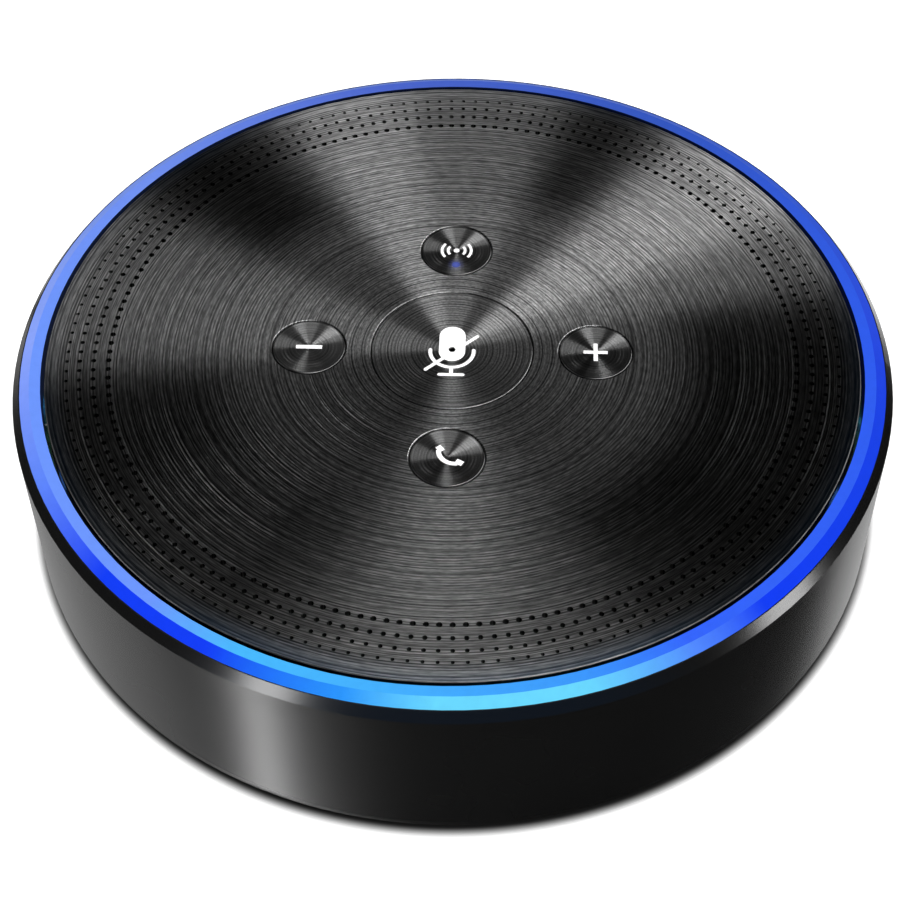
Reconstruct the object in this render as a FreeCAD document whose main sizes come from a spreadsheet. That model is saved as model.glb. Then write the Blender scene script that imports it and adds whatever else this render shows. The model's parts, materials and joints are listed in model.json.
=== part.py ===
"""Conference speakerphone: a round desk puck with five keys inside a glowing ring.

Millimetres, +Z up. The origin is on the table, under the centre of the puck. The call key
faces the user at -Y, the pairing key and the sockets are at +Y, volume down is at -X.
"""
import FreeCAD, Part
import os
import Sketcher
from FreeCAD import Placement, Rotation, Vector

# Every driving size is a cell of the spreadsheet. Heights are above the table, radii are
# from the axis of the puck, and "low", "top" are the two ends of a piece along Z.
DRIVING_SIZES = {
    # Housing wall
    "rim_radius": 62.0, "rim_height": 25.35, "wall_low": 1.0, "wall_draft": 0.4,
    "wall_inner": 60.2, "lip_inner": 60.9, "lip_land": 0.1, "lip_height": 26.72,
    "ledge_height": 25.0, "flange_inner": 57.5, "flange_low": 3.0, "flange_top": 4.2,
    # Light ring: a sloping outer facet and a flat inner one
    "ring_outer": 60.85, "ring_crease": 59.4, "ring_inner": 57.85, "ring_low": 24.2,
    "ring_foot": 60.1,
    # Top plate and its perforations
    "body_height": 27.6, "plate_radius": 57.3, "plate_thick": 1.0, "plate_chamfer": 0.12,
    "hole_chamfer": 0.14, "perforations": 180,
    "row_first": 48.4, "row_second": 50.5, "row_third": 52.45, "row_fourth": 54.25,
    "bore_first": 0.8, "bore_second": 0.7, "bore_third": 0.6, "bore_fourth": 0.5,
    "film_thick": 0.2, "mesh_inner": 47.0, "mesh_outer": 55.4,
    # Base, foot and base screws
    "base_radius": 60.0, "base_thick": 2.0, "foot_inner": 50.0, "foot_outer": 57.0,
    "foot_gap": 0.1, "groove_depth": 1.0, "foot_chamfer": 0.3,
    "base_screw_circle": 44.0, "counterbore_radius": 2.6, "counterbore_depth": 1.2,
    # Inner frame
    "deck_low": 17.0, "deck_thick": 1.5, "deck_bore": 23.0, "frame_outer": 57.2,
    "frame_wall": 1.6, "shelf_low": 21.0, "shelf_thick": 1.0, "leg_angle": 10.0,
    "tower_radius": 3.0, "board_post_circle": 24.9, "board_post_radius": 1.4,
    "guide_post_circle": 29.2, "guide_post_radius": 1.6,
    # Keys
    "key_circle": 20.25, "key_hole": 5.25, "key_gap": 0.12, "key_chamfer": 0.1,
    "mute_hole": 11.5, "key_flange": 0.75, "flange_thick": 0.8, "stem_radius": 2.0,
    "stem_low": 24.0, "key_rise": 0.1, "mute_stem_offset": 6.5, "legend_depth": 0.3,
    "lens_offset": 3.0, "lens_radius": 0.6,
    # Key board, its switches and the key guide
    "key_board_radius": 27.0, "key_board_low": 20.6, "key_board_thick": 1.0,
    "switch_side": 4.6, "switch_height": 1.7, "plunger_radius": 1.2, "plunger_low": 22.4,
    "guide_radius": 31.0, "guide_low": 24.2, "guide_thick": 0.8, "guide_gap": 0.25,
    # Microphone under the mute key
    "mic_bore": 0.4, "mic_tube": 1.6, "boot_top": 23.8, "capsule_height": 1.0,
    # Light ring electronics
    "led_count": 24, "led_circle": 58.7, "led_board_thick": 0.6,
    # Main board and rear sockets
    "board_low": 7.0, "board_thick": 1.6, "board_width": 52.0, "board_front": 29.0,
    "board_edge": 56.0, "port_spacing": 13.5, "board_screw_x": 22.5,
    "usb_width": 8.94, "usb_height": 3.26, "usb_wall": 0.3, "usb_length": 7.9,
    "usb_front": 61.4, "usb_back_wall": 1.0, "tongue_width": 6.69, "tongue_thick": 0.7,
    "aux_bore": 1.8, "aux_depth": 14.0, "aux_nose": 2.6, "aux_front": 59.9,
    "power_key_width": 8.0, "power_key_height": 3.0, "power_key_face": 62.2,
    "power_switch_height": 3.5,
    # Battery
    "battery_width": 42.0, "battery_depth": 24.0, "battery_height": 9.5,
    "battery_front": 28.5,
    # Speaker driver
    "cone_radius": 19.0, "flange_radius": 26.5, "speaker_top": 16.5, "roll_radius": 1.8,
    "coil_inner": 6.25, "coil_outer": 6.6, "pole_radius": 6.0, "magnet_inner": 8.5,
    "magnet_outer": 16.0, "gap_outer": 6.9, "yoke_low": 3.4, "magnet_low": 4.5,
    "washer_low": 7.5, "washer_top": 8.7, "spider_height": 10.15, "paper_thick": 0.4,
    "speaker_screw_circle": 25.1,
}

AROUND = (0, 0, 1)
ALONG_X = ((0, 1, 0), 90)
ALONG_Y = ((1, 0, 0), -90)
QUARTERS = (0, 90, 180, 270)
DIAGONALS = (45, 135, 225, 315)

doc = FreeCAD.newDocument("speakerphone")
sheet = doc.addObject("Spreadsheet::Sheet", "dim")
pieces = []


# ---------------------------------------------------------------- helpers

def fill_sheet():
    """Write one driving size in each row: its name in column A, its value in column B."""
    for row, (alias, value) in enumerate(DRIVING_SIZES.items(), start=1):
        sheet.set(f"A{row}", alias)
        sheet.set(f"B{row}", str(value))
        sheet.setAlias(f"B{row}", alias)
    doc.recompute()


def value_of(expression):
    """The number that an expression of sheet cells comes to."""
    return float(sheet.evalExpression(str(expression)))


def bind(item, **expressions):
    for name, expression in expressions.items():
        item.setExpression(name, str(expression))
    return item


def place(item, x=0, y=0, z=0, axis=AROUND, angle=0):
    """Set a piece's Placement from expressions."""
    item.Placement = Placement(Vector(), Rotation(Vector(*axis), 1))
    item.setExpression("Placement.Rotation.Angle", str(angle))
    for name, expression in (("x", x), ("y", y), ("z", z)):
        item.setExpression(f"Placement.Base.{name}", str(expression))
    return item


def polar(radius, degrees):
    """The X and Y expressions of a point on a circle about the puck's axis."""
    return f"({radius}) * cos({degrees}deg)", f"({radius}) * sin({degrees}deg)"


def piece(label, item):
    """Name a finished sub-part. The label is also the name of its file."""
    item.Label = label
    pieces.append(item)
    return item


def cylinder(radius, length, x=0, y=0, z=0, along=(AROUND, 0), sweep=360):
    item = doc.addObject("Part::Cylinder", "cylinder")
    bind(item, Radius=radius, Height=length, Angle=sweep)
    return place(item, x, y, z, *along)


def box(width, depth, height, x=0, y=0, z=0, turn=0):
    """A block centred on x, y and turned about that centre, with its base at z."""
    item = doc.addObject("Part::Box", "block")
    bind(item, Length=width, Width=depth, Height=height)
    half_x, half_y = f"({width}) / 2", f"({depth}) / 2"
    corner_x = f"({x}) - {half_x} * cos({turn}deg) + {half_y} * sin({turn}deg)"
    corner_y = f"({y}) - {half_x} * sin({turn}deg) - {half_y} * cos({turn}deg)"
    return place(item, corner_x, corner_y, z, AROUND, turn)


def fuse(items):
    if len(items) == 1:
        return items[0]
    item = doc.addObject("Part::MultiFuse", "joined")
    item.Shapes = items
    return item


def group(items):
    """Separate solids that share one sub-part, such as a set of screws."""
    item = doc.addObject("Part::Compound", "set")
    item.Links = items
    return item


def cut(base, tools):
    item = doc.addObject("Part::Cut", "trimmed")
    item.Base = base
    item.Tool = fuse(tools)
    return item


def tube(outer, inner, length, x=0, y=0, z=0, along=(AROUND, 0), sweep=360):
    """A pipe, or the part of it that sweep degrees take in."""
    solid = cylinder(outer, length, x, y, z, along, sweep)
    return cut(solid, [cylinder(inner, length, x, y, z, along)])


def sector(inner, outer, length, z, middle, sweep, x=0, y=0):
    """A piece of a ring, sweep degrees wide about the direction middle."""
    return tube(outer, inner, length, x, y, z, (AROUND, f"{middle} - ({sweep}) / 2"), sweep)


def rounded_bar(length, width, height, x, y, z, turn=0):
    """A flat bar with half-round ends. Its length includes the ends."""
    straight = f"({length}) - ({width})"
    solids = [box(straight, width, height, x, y, z, turn)]
    for side in (-1, 1):
        end_x = f"({x}) + {side} * ({straight}) / 2 * cos({turn}deg)"
        end_y = f"({y}) + {side} * ({straight}) / 2 * sin({turn}deg)"
        solids.append(cylinder(f"({width}) / 2", height, end_x, end_y, z))
    return fuse(solids)


def stadium(width, height, length, y, z):
    """A bar of rounded section that runs along +Y, centred on x = 0 and on the height z."""
    radius = f"({height}) / 2"
    straight = f"(({width}) - ({height}))"
    middle = box(straight, length, height, 0, f"({y}) + ({length}) / 2", f"({z}) - {radius}")
    ends = [
        cylinder(radius, length, f"{side} * {straight} / 2", y, z, ALONG_Y) for side in (-1, 1)
    ]
    return fuse([middle] + ends)


def origin_feature(body, role):
    return next(item for item in body.Origin.OriginFeatures if item.Role == role)


def new_sketch(body, name, role):
    sketch = body.newObject("Sketcher::SketchObject", name)
    sketch.AttachmentSupport = [(origin_feature(body, role), "")]
    sketch.MapMode = "FlatFace"
    return sketch


def lathe(profile):
    """Turn a closed outline of (radius, height) expressions about Z."""
    body = doc.addObject("PartDesign::Body", "turned")
    sketch = new_sketch(body, "profile", "XZ_Plane")
    points = [Vector(value_of(radius), value_of(height), 0) for radius, height in profile]
    for start, end in zip(points, points[1:] + points[:1]):
        sketch.addGeometry(Part.LineSegment(start, end))
    for index, corner in enumerate(profile):
        following = (index + 1) % len(profile)
        sketch.addConstraint(Sketcher.Constraint("Coincident", index, 2, following, 1))
        start = points[index]
        for kind, expression, place_now in zip(("DistanceX", "DistanceY"), corner, start):
            number = sketch.addConstraint(Sketcher.Constraint(kind, -1, 1, index, 1, place_now))
            sketch.setExpression(f"Constraints[{number}]", str(expression))
    turn = body.newObject("PartDesign::Revolution", "turn")
    turn.Profile = sketch
    turn.ReferenceAxis = (sketch, ["V_Axis"])
    turn.Angle = 360
    body.Tip = turn
    return body


def ring(inner, outer, low, top):
    return lathe([(inner, low), (outer, low), (outer, top), (inner, top)])


def screw(x, y, seat, head_radius, head_height, shank_radius, shank_length, shank_up):
    """A cross-head screw. seat is the height of the face that its head bears on."""
    recess = f"({head_height}) * 0.5"
    slot_width, slot_length = f"({head_radius}) * 0.3", f"({head_radius}) * 1.3"
    if shank_up:
        head_z, shank_z, recess_z = f"({seat}) - {head_height}", seat, f"({seat}) - {head_height}"
    else:
        head_z, shank_z = seat, f"({seat}) - {shank_length}"
        recess_z = f"({seat}) + {head_height} - {recess}"
    solid = fuse([
        cylinder(head_radius, head_height, x, y, head_z),
        cylinder(shank_radius, shank_length, x, y, shank_z),
    ])
    slots = [box(slot_length, slot_width, recess, x, y, recess_z, turn) for turn in (0, 90)]
    return cut(solid, slots)


def lead(corners, radius):
    """A wire whose runs follow the axes. corners are (x, y, z), each run rising or not."""
    solids = []
    for start, end in zip(corners, corners[1:]):
        changes = [value_of(f"({b}) - ({a})") for a, b in zip(start, end)]
        number = max(range(3), key=lambda index: abs(changes[index]))
        along = (ALONG_X, ALONG_Y, (AROUND, 0))[number]
        low, high = (start, end) if changes[number] > 0 else (end, start)
        run = f"({high[number]}) - ({low[number]})"
        solids.append(cylinder(radius, run, *low, along))
    for corner in corners[1:-1]:
        elbow = doc.addObject("Part::Sphere", "elbow")
        bind(elbow, Radius=radius)
        solids.append(place(elbow, *corner))
    return fuse(solids)


# ---------------------------------------------------------------- housing

PLATE_LOW = "dim.body_height - dim.plate_thick"
FILM_LOW = f"{PLATE_LOW} - dim.film_thick"
BASE_TOP = "dim.wall_low + dim.base_thick"
DECK_TOP = "dim.deck_low + dim.deck_thick"
KEY_BOARD_TOP = "dim.key_board_low + dim.key_board_thick"
BOARD_TOP = "dim.board_low + dim.board_thick"
USB_AXIS = f"{BOARD_TOP} + dim.usb_height / 2"
AUX_AXIS = f"{BOARD_TOP} + dim.aux_nose"
POWER_AXIS = f"{BOARD_TOP} + dim.power_switch_height / 2"
OPENING_GAP = 0.2


def make_outer_wall():
    """Housing wall with a clamping flange, a ledge for the light ring and three openings."""
    wall = lathe([
        ("dim.wall_inner", "dim.wall_low"),
        ("dim.rim_radius - 2 * dim.wall_draft", "dim.wall_low"),
        ("dim.rim_radius - dim.wall_draft", "dim.wall_low + dim.wall_draft"),
        ("dim.rim_radius", "dim.rim_height"),
        ("dim.lip_inner + dim.lip_land", "dim.lip_height"),
        ("dim.lip_inner", "dim.lip_height"),
        ("dim.lip_inner", "dim.ledge_height"),
        ("dim.wall_inner", "dim.ledge_height"),
        ("dim.wall_inner", "dim.flange_top"),
        ("dim.flange_inner", "dim.flange_top"),
        ("dim.flange_inner", "dim.flange_low"),
        ("dim.wall_inner", "dim.flange_low"),
    ])
    reach = "dim.rim_radius - dim.flange_inner"
    usb_width = f"dim.usb_width + 2 * {OPENING_GAP}"
    usb_height = f"dim.usb_height + 2 * {OPENING_GAP}"
    usb = stadium(usb_width, usb_height, reach, "dim.flange_inner", USB_AXIS)
    aux = cylinder(f"dim.aux_nose + {OPENING_GAP}", reach, "dim.port_spacing",
                   "dim.flange_inner", AUX_AXIS, ALONG_Y)
    power = box(f"dim.power_key_width + 2 * {OPENING_GAP}", f"{reach} + 2",
                f"dim.power_key_height + 2 * {OPENING_GAP}", "-dim.port_spacing",
                "dim.wall_inner", f"{POWER_AXIS} - dim.power_key_height / 2 - {OPENING_GAP}")
    piece("outer_wall", cut(wall, [usb, aux, power]))


def make_light_ring():
    piece("light_ring", lathe([
        ("dim.ring_inner", "dim.ring_low"),
        ("dim.ring_foot", "dim.ring_low"),
        ("dim.ring_foot", "dim.ledge_height"),
        ("dim.ring_outer", "dim.ledge_height"),
        ("dim.ring_outer", "dim.lip_height"),
        ("dim.ring_crease", "dim.body_height"),
        ("dim.ring_inner", "dim.body_height"),
    ]))


def add_circle(sketch, radius, x=0, y=0):
    """A circle bound to the sheet: on the origin, or at x, y from it."""
    centre = Vector(value_of(x), value_of(y), 0)
    number = sketch.addGeometry(Part.Circle(centre, Vector(0, 0, 1), value_of(radius)))
    terms = [("Radius", (number,), radius)]
    if centre.Length == 0:
        sketch.addConstraint(Sketcher.Constraint("Coincident", number, 3, -1, 1))
    for kind, expression, offset in (("DistanceX", x, centre.x), ("DistanceY", y, centre.y)):
        if centre.Length > 0:
            terms.append((kind, (-1, 1, number, 3), expression))
    for kind, geometry, expression in terms:
        constraint = Sketcher.Constraint(kind, *geometry, value_of(expression))
        index = sketch.addConstraint(constraint)
        sketch.setExpression(f"Constraints[{index}]", str(expression))


def chamfer_top(body, feature, size, wanted):
    """Chamfer the circular top edges of a plate whose radius passes the test."""
    doc.recompute()
    thickness = value_of("dim.plate_thick")
    names = []
    for number, edge in enumerate(feature.Shape.Edges, start=1):
        on_top = edge.BoundBox.ZMin > thickness - 0.001
        if on_top and wanted(edge.Curve.Radius):
            names.append(f"Edge{number}")
    chamfer = body.newObject("PartDesign::Chamfer", "edge_break")
    chamfer.Base = (feature, names)
    chamfer.setExpression("Size", size)
    return chamfer


def make_top_plate():
    """Spun aluminium disc with five key holes and four rows of perforations."""
    body = doc.addObject("PartDesign::Body", "plate")
    place(body, z=PLATE_LOW)
    outline = new_sketch(body, "outline", "XY_Plane")
    add_circle(outline, "dim.plate_radius")
    add_circle(outline, "dim.mute_hole")
    for side in (-1, 1):
        add_circle(outline, "dim.key_hole", f"{side} * dim.key_circle", 0)
        add_circle(outline, "dim.key_hole", 0, f"{side} * dim.key_circle")
    disc = body.newObject("PartDesign::Pad", "disc")
    disc.Profile = outline
    disc.setExpression("Length", "dim.plate_thick")
    rim_size = value_of("dim.plate_radius")
    outer = chamfer_top(body, disc, "dim.plate_chamfer", lambda radius: radius > rim_size - 1)
    inner = chamfer_top(body, outer, "dim.hole_chamfer", lambda radius: radius < rim_size / 2)
    body.Tip = inner
    column = new_sketch(body, "column", "XY_Plane")
    for row in ("first", "second", "third", "fourth"):
        add_circle(column, f"dim.bore_{row} / 2", f"dim.row_{row}", 0)
    bores = body.newObject("PartDesign::Pocket", "bores")
    bores.Profile = column
    bores.Type = 1
    bores.Reversed = True
    doc.recompute()
    pattern = body.newObject("PartDesign::PolarPattern", "around")
    pattern.Originals = [bores]
    pattern.Axis = (origin_feature(body, "Z_Axis"), [""])
    pattern.Angle = 360
    pattern.setExpression("Occurrences", "dim.perforations")
    body.Tip = pattern
    piece("top_plate", body)


def make_plate_films():
    """The adhesive that holds the plate and the mesh behind the perforations."""
    piece("plate_adhesive", ring("dim.frame_outer - dim.frame_wall + 0.1",
                                 "dim.frame_outer - 0.1", FILM_LOW, PLATE_LOW))
    piece("acoustic_mesh", ring("dim.mesh_inner", "dim.mesh_outer", FILM_LOW, PLATE_LOW))


def board_screw_points():
    """Where the main board is screwed down."""
    return [(f"{side} * dim.board_screw_x", y) for side in (-1, 1) for y in (32.5, 48)]


def make_base():
    """Base cover with a groove for the foot, counterbored holes and board posts."""
    cover = lathe([
        (0, "dim.wall_low"),
        ("dim.foot_inner", "dim.wall_low"),
        ("dim.foot_inner", "dim.wall_low + dim.groove_depth"),
        ("dim.foot_outer", "dim.wall_low + dim.groove_depth"),
        ("dim.foot_outer", "dim.wall_low"),
        ("dim.base_radius", "dim.wall_low"),
        ("dim.base_radius", BASE_TOP),
        (0, BASE_TOP),
    ])
    post_height = f"dim.board_low - ({BASE_TOP})"
    posts, holes = [], []
    for x, y in board_screw_points():
        posts.append(cylinder(2.3, post_height, x, y, BASE_TOP))
        holes.append(cylinder(0.9, post_height, x, y, BASE_TOP))
    for angle in DIAGONALS:
        x, y = polar("dim.base_screw_circle", angle)
        holes.append(cylinder("dim.counterbore_radius", "dim.counterbore_depth", x, y,
                              "dim.wall_low"))
        holes.append(cylinder(1.3, "dim.base_thick", x, y, "dim.wall_low"))
    piece("base_cover", cut(fuse([cover] + posts), holes))


def make_foot():
    inner, outer = "dim.foot_inner + dim.foot_gap", "dim.foot_outer - dim.foot_gap"
    top = "dim.wall_low + dim.groove_depth"
    piece("foot_ring", lathe([
        (f"{inner} + dim.foot_chamfer", 0),
        (f"{outer} - dim.foot_chamfer", 0),
        (outer, "dim.foot_chamfer"),
        (outer, top),
        (inner, top),
        (inner, "dim.foot_chamfer"),
    ]))


def make_inner_frame():
    """Moulded frame: deck, plate wall, shelf for the lights, legs and screw posts."""
    wall_inner = "dim.frame_outer - dim.frame_wall"
    shelf_top = "dim.shelf_low + dim.shelf_thick"
    turned = lathe([
        ("dim.deck_bore", "dim.deck_low"),
        ("dim.frame_outer", "dim.deck_low"),
        ("dim.frame_outer", "dim.shelf_low"),
        ("dim.base_radius", "dim.shelf_low"),
        ("dim.base_radius", shelf_top),
        ("dim.frame_outer", shelf_top),
        ("dim.frame_outer", FILM_LOW),
        (wall_inner, FILM_LOW),
        (wall_inner, DECK_TOP),
        ("dim.deck_bore", DECK_TOP),
    ])
    solids, holes = [turned], []
    for angle in range(0, 360, 60):
        solids.append(sector("dim.frame_outer - 0.8", "dim.base_radius",
                             "dim.shelf_low - dim.flange_top", "dim.flange_top", angle,
                             "dim.leg_angle"))
    for angle in DIAGONALS:
        x, y = polar("dim.base_screw_circle", angle)
        solids.append(cylinder("dim.tower_radius", f"dim.deck_low - ({BASE_TOP})", x, y, BASE_TOP))
        holes.append(cylinder(1.1, 10, x, y, BASE_TOP))
        x, y = polar("dim.board_post_circle", angle)
        solids.append(cylinder("dim.board_post_radius", f"dim.key_board_low - ({DECK_TOP})",
                               x, y, DECK_TOP))
        holes.append(cylinder(0.6, 3, x, y, "dim.key_board_low - 3"))
        x, y = polar("dim.guide_post_circle", angle)
        solids.append(cylinder("dim.guide_post_radius", f"dim.guide_low - ({DECK_TOP})",
                               x, y, DECK_TOP))
        holes.append(cylinder(0.6, 5, x, y, "dim.guide_low - 5"))
    for angle in QUARTERS:
        holes.append(cylinder(0.7, 1.2, *polar("dim.speaker_screw_circle", angle), "dim.deck_low"))
    holes.append(box(10, 2.2, "dim.deck_thick", 0, 34.1, "dim.deck_low"))
    piece("inner_frame", cut(fuse(solids), holes))


# ---------------------------------------------------------------- keys

LEGEND_LOW = "dim.body_height - dim.legend_depth"
KEY_FLANGE_TOP = f"{PLATE_LOW} - dim.key_rise"
KEY_FLANGE_LOW = f"{KEY_FLANGE_TOP} - dim.flange_thick"


def key_blank(x, y, hole):
    """A key cap with the flange that keeps it under the plate."""
    cap = f"{hole} - dim.key_gap"
    blank = lathe([
        (0, KEY_FLANGE_LOW),
        (f"{hole} + dim.key_flange", KEY_FLANGE_LOW),
        (f"{hole} + dim.key_flange", KEY_FLANGE_TOP),
        (cap, KEY_FLANGE_TOP),
        (cap, "dim.body_height - dim.key_chamfer"),
        (f"{cap} - dim.key_chamfer", "dim.body_height"),
        (0, "dim.body_height"),
    ])
    return place(blank, x, y)


def key_stem(x, y):
    return cylinder("dim.stem_radius", f"{KEY_FLANGE_LOW} - dim.stem_low", x, y, "dim.stem_low")


def plunger(x, y):
    return cylinder("dim.plunger_radius", "dim.stem_low - dim.plunger_low", x, y,
                    "dim.plunger_low")


def minus_sign(x, y):
    return [box(3.7, 0.68, "dim.legend_depth", x, y, LEGEND_LOW)]


def plus_sign(x, y):
    return [box(3.4, 0.58, "dim.legend_depth", x, y, LEGEND_LOW, turn) for turn in (0, 90)]


def handset_sign(x, y):
    """A telephone handset that lies on its back, leaning down to the right."""
    lean, bow = -42, 1.6
    bow_x, bow_y = f"({x}) - {bow} * sin({lean}deg)", f"({y}) + {bow} * cos({lean}deg)"
    shapes = [sector(1.95, 2.6, "dim.legend_depth", LEGEND_LOW, lean - 90, 100, bow_x, bow_y)]
    for side in (-1, 1):
        ear_x = f"({x}) + {side * 1.8} * cos({lean}deg) - 0.5 * sin({lean}deg)"
        ear_y = f"({y}) + {side * 1.8} * sin({lean}deg) + 0.5 * cos({lean}deg)"
        ear_turn = lean + side * 12
        shapes.append(box(1.05, 0.85, "dim.legend_depth", ear_x, ear_y, LEGEND_LOW, ear_turn))
    return shapes


def radio_sign(x, y):
    """A plain wireless sign: a dot between two pairs of arcs."""
    shapes = [cylinder(0.42, "dim.legend_depth", x, y, LEGEND_LOW)]
    for facing in (0, 180):
        for inner, outer in ((1.05, 1.45), (1.95, 2.35)):
            shapes.append(sector(inner, outer, "dim.legend_depth", LEGEND_LOW, facing, 80, x, y))
    return shapes


def muted_microphone_sign(x, y):
    """A studio microphone in its cradle, struck through from lower left to upper right."""
    depth, cradle_y, stroke = "dim.legend_depth", -0.38, 0.52
    cradle_mid = 3.06
    shapes = [
        rounded_bar(6.75, 3.7, depth, x, f"({y}) + 1.12", LEGEND_LOW, 90),
        sector(cradle_mid - stroke / 2, cradle_mid + stroke / 2, depth, LEGEND_LOW, 270, 180,
               x, f"({y}) + {cradle_y}"),
        box(stroke, 1.3, depth, x, f"({y}) - 4.1", LEGEND_LOW),
        rounded_bar(3.8, stroke, depth, x, f"({y}) - 4.85", LEGEND_LOW),
        rounded_bar(10.2, stroke, depth, f"({x}) - 0.05", f"({y}) - 0.65", LEGEND_LOW, 42.8),
    ]
    for side in (-1, 1):
        shapes.append(rounded_bar(1.1, stroke, depth, f"({x}) + {side * cradle_mid}",
                                  f"({y}) + {cradle_y}", LEGEND_LOW, 90))
    return shapes


def make_key(name, x, y, sign, extra_solids=(), extra_cuts=()):
    """A round key on one stem, with its inlaid legend and the plunger it presses."""
    legend = piece(f"{name}_legend", fuse(sign(x, y)))
    solid = fuse([key_blank(x, y, "dim.key_hole"), key_stem(x, y), *extra_solids])
    piece(f"{name}_key", cut(solid, [legend, *extra_cuts]))
    piece(f"{name}_plunger", plunger(x, y))


def make_small_keys():
    make_key("call", 0, "-dim.key_circle", handset_sign)
    make_key("volume_down", "-dim.key_circle", 0, minus_sign)
    make_key("volume_up", "dim.key_circle", 0, plus_sign)
    lens_y = "dim.key_circle - dim.lens_offset"
    lens = cylinder("dim.lens_radius", "dim.body_height - dim.guide_low", 0, lens_y,
                    "dim.guide_low")
    make_key("pairing", 0, "dim.key_circle", radio_sign, extra_cuts=[lens])
    piece("pairing_lens", lens)


def make_mute_key():
    """The large centre key: two stems, and a tube that leads sound to the microphone."""
    stems = [key_stem(f"{side} * dim.mute_stem_offset", 0) for side in (-1, 1)]
    sound_tube = cylinder("dim.mic_tube", f"{KEY_FLANGE_LOW} - dim.guide_low", 0, 0,
                          "dim.guide_low")
    clear_of_bore = cylinder("dim.mic_bore + 0.1", "dim.body_height", 0, 0, 0)
    legend = piece("mute_legend", cut(fuse(muted_microphone_sign(0, 0)), [clear_of_bore]))
    solid = fuse([key_blank(0, 0, "dim.mute_hole"), sound_tube, *stems])
    bore = cylinder("dim.mic_bore", "dim.body_height", 0, 0, 0)
    piece("mute_key", cut(solid, [legend, bore]))
    piece("mute_plungers", group([
        plunger(f"{side} * dim.mute_stem_offset", 0) for side in (-1, 1)
    ]))


def switch_points():
    """The axis of each switch: one under each small key, two under the mute key."""
    points = [(f"{side} * dim.mute_stem_offset", 0) for side in (-1, 1)]
    points += [(f"{side} * dim.key_circle", 0) for side in (-1, 1)]
    points += [(0, f"{side} * dim.key_circle") for side in (-1, 1)]
    return points


def make_key_guide():
    """Plate that guides the stems and stops the keys from tilting."""
    disc = ring(0, "dim.guide_radius", "dim.guide_low", "dim.guide_low + dim.guide_thick")
    hole_radius = "dim.stem_radius + dim.guide_gap"
    holes = [
        cylinder(hole_radius, "dim.guide_thick", x, y, "dim.guide_low")
        for x, y in switch_points() + [(0, 0)]
    ]
    holes.append(cylinder("dim.lens_radius + dim.guide_gap", "dim.guide_thick", 0,
                          "dim.key_circle - dim.lens_offset", "dim.guide_low"))
    screws = []
    for angle in DIAGONALS:
        x, y = polar("dim.guide_post_circle", angle)
        holes.append(cylinder(0.7, "dim.guide_thick", x, y, "dim.guide_low"))
        seat = "dim.guide_low + dim.guide_thick"
        screws.append(screw(x, y, seat, 1.2, 0.6, 0.6, 4.5, shank_up=False))
    piece("key_guide", cut(disc, holes))
    piece("key_guide_screws", group(screws))


def make_key_board():
    """Round circuit board with the key switches, the status light and the microphone."""
    disc = ring(0, "dim.key_board_radius", "dim.key_board_low", KEY_BOARD_TOP)
    holes, screws = [], []
    for angle in DIAGONALS:
        x, y = polar("dim.board_post_circle", angle)
        holes.append(cylinder(0.7, "dim.key_board_thick", x, y, "dim.key_board_low"))
        screws.append(screw(x, y, KEY_BOARD_TOP, 1.2, 0.8, 0.6, 3, shank_up=False))
    piece("key_board", cut(disc, holes))
    piece("key_board_screws", group(screws))
    bodies = []
    for x, y in switch_points():
        block = box("dim.switch_side", "dim.switch_side", "dim.switch_height", x, y, KEY_BOARD_TOP)
        well = cylinder("dim.plunger_radius + 0.15", "dim.switch_height", x, y,
                        f"{KEY_BOARD_TOP} + 0.4")
        bodies.append(cut(block, [well]))
    piece("key_switch_bodies", group(bodies))
    piece("status_led", box(1.6, 0.8, 0.6, 0, "dim.key_circle - dim.lens_offset", KEY_BOARD_TOP))


def make_microphone():
    capsule = box(3.8, 3.0, "dim.capsule_height", 0, 0, KEY_BOARD_TOP)
    capsule_top = f"{KEY_BOARD_TOP} + dim.capsule_height"
    inlet = cylinder("dim.mic_bore", 0.5, 0, 0, f"{capsule_top} - 0.5")
    piece("microphone", cut(capsule, [inlet]))
    piece("mic_boot", tube("dim.stem_radius", "dim.mic_bore + 0.1",
                           f"dim.boot_top - ({capsule_top})", 0, 0, capsule_top))


# ---------------------------------------------------------------- electronics

def make_ring_lights():
    """Annular board on the frame's shelf, with the lights that feed the light ring."""
    low = "dim.shelf_low + dim.shelf_thick"
    top = f"{low} + dim.led_board_thick"
    piece("led_ring_board", ring("dim.frame_outer + 0.2", "dim.base_radius - 0.1", low, top))
    count = int(value_of("dim.led_count"))
    lights = []
    for number in range(count):
        angle = 360 * (number + 0.5) / count
        lights.append(box(1.2, 2.4, 0.9, *polar("dim.led_circle", angle), top, angle))
    piece("ring_leds", group(lights))


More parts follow.
